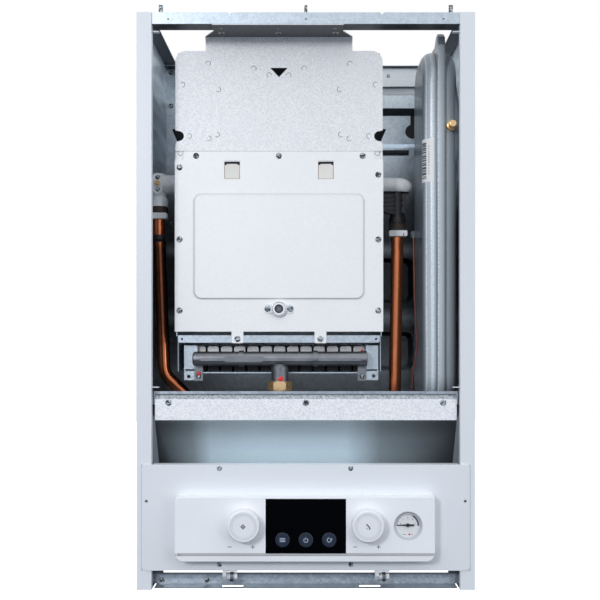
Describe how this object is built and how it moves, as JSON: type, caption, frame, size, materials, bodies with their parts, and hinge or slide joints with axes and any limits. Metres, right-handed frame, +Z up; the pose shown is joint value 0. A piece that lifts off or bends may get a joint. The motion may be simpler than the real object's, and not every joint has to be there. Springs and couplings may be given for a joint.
{
  "type": "wall-hung gas combination boiler",
  "caption": "Wall-hung gas boiler with its front cover off: open-flue chamber, burner, expansion vessel, water group with plate heat exchanger, and a tilting control panel.",
  "frame": {"origin": "on the wall plane, midway between the two keyholes that the boiler hangs on", "axes": "+X to the right and +Y into the wall as seen by someone facing the boiler, +Z up"},
  "size_m": [0.41, 0.283, 0.7123],
  "materials": {
    "white_paint": "white powder coat",
    "galvanised": "zinc spangle",
    "dark_steel": "dull",
    "zinc_fastener": "bright zinc",
    "copper": "copper tube, slightly tarnished",
    "copper_alloy_cast": "cast, plated",
    "brass": "machined",
    "aluminium_cast": "die cast",
    "aluminised": "aluminised sheet",
    "ceramic_fibre": "ceramic fibre board, matt",
    "glass": "clear",
    "grey_paint": "grey enamel",
    "rubber_black": "matt",
    "rubber_brown": "matt",
    "white_plastic": "satin moulded",
    "grey_plastic": "satin moulded",
    "black_plastic": "moulded",
    "black_gloss": "gloss",
    "navy_plastic": "satin",
    "circuit_green": "solder mask",
    "stainless": "brazed stainless"
  },
  "bodies": {
    "chassis": {"side_panels": "white_paint", "top_rail": "galvanised", "back_panel": "galvanised", "upper_cross_rail": "galvanised", "bottom_rail": "white_paint", "connection_bracket": "galvanised", "divider_tray": "galvanised", "tray_apron": "galvanised", "frame_screws": "zinc_fastener", "chamber_cover": "galvanised", "chamber_shell": "aluminised", "chamber_braces": "galvanised", "insulation_boards": "ceramic_fibre", "exchanger_fins": "copper", "exchanger_tubes": "copper", "sight_glass": "zinc_fastener", "hood_plate": "galvanised", "hood_shell": "galvanised", "flue_collar": "galvanised", "elbows": "copper_alloy_cast", "flow_sensor": "brass", "elbow_seals": "rubber_brown", "elbow_clips": "white_plastic", "water_pipes": "copper", "lower_bar": "galvanised", "burner_blades": "dark_steel", "burner_rack": "galvanised", "gas_manifold": "aluminium_cast", "injectors": "brass", "manifold_nut": "brass", "gas_pipes": "copper", "gas_valve": "aluminium_cast", "vessel_shells": "grey_paint", "vessel_rim": "grey_paint", "vessel_diaphragm": "rubber_black", "vessel_valve": "brass", "vessel_hose": "copper", "gauge_capillary": "copper", "connections": "brass", "left_block": "brass", "right_block": "brass", "pump_housing": "dark_steel", "pump_motor": "black_plastic", "plate_exchanger": "stainless", "wiring_loop": "rubber_black"},
    "control_panel": {"panel_plate": "white_paint", "fascia": "white_plastic", "display_window": "black_gloss", "control_box": "grey_plastic", "circuit_board": "circuit_green", "gauge_body": "white_plastic", "hinge_hooks": "grey_plastic", "panel_screws": "zinc_fastener"},
    "heating_knob": {"heating_knob": "white_plastic"},
    "hot_water_knob": {"hot_water_knob": "white_plastic"},
    "mode_button": {"mode_button": "navy_plastic"},
    "power_button": {"power_button": "navy_plastic"},
    "reset_button": {"reset_button": "navy_plastic"},
    "gauge_needle": {"gauge_needle": "black_plastic"},
    "pump_impeller": {"pump_impeller": "black_plastic"}
  },
  "joints": [
    {"name": "panel_tilt", "type": "hinge", "parent": "chassis", "child": "control_panel", "pos_m": [0, -0.241, -0.5935], "axis": [1, 0, 0], "range_deg": [0, 80]},
    {"name": "heating_turn", "type": "hinge", "parent": "control_panel", "child": "heating_knob", "pos_m": [-0.0735, -0.26, -0.5245], "axis": [0, 1, 0], "range_deg": [0, 270]},
    {"name": "hot_water_turn", "type": "hinge", "parent": "control_panel", "child": "hot_water_knob", "pos_m": [0.0735, -0.26, -0.5245], "axis": [0, 1, 0], "range_deg": [0, 270]},
    {"name": "mode_press", "type": "slide", "parent": "control_panel", "child": "mode_button", "axis": [0, 1, 0], "range_m": [0, 0.0012], "stiffness_N_per_m": 900, "springref_m": -0.0006},
    {"name": "power_press", "type": "slide", "parent": "control_panel", "child": "power_button", "axis": [0, 1, 0], "range_m": [0, 0.0012], "stiffness_N_per_m": 900, "springref_m": -0.0006},
    {"name": "reset_press", "type": "slide", "parent": "control_panel", "child": "reset_button", "axis": [0, 1, 0], "range_m": [0, 0.0012], "stiffness_N_per_m": 900, "springref_m": -0.0006},
    {"name": "needle_turn", "type": "hinge", "parent": "control_panel", "child": "gauge_needle", "pos_m": [0.122, -0.264, -0.5263], "axis": [0, 1, 0], "range_deg": [0, 180]},
    {"name": "impeller_spin", "type": "hinge", "parent": "chassis", "child": "pump_impeller", "pos_m": [0.112, -0.11, -0.49], "axis": [0, 1, 0], "continuous": true}
  ]
}
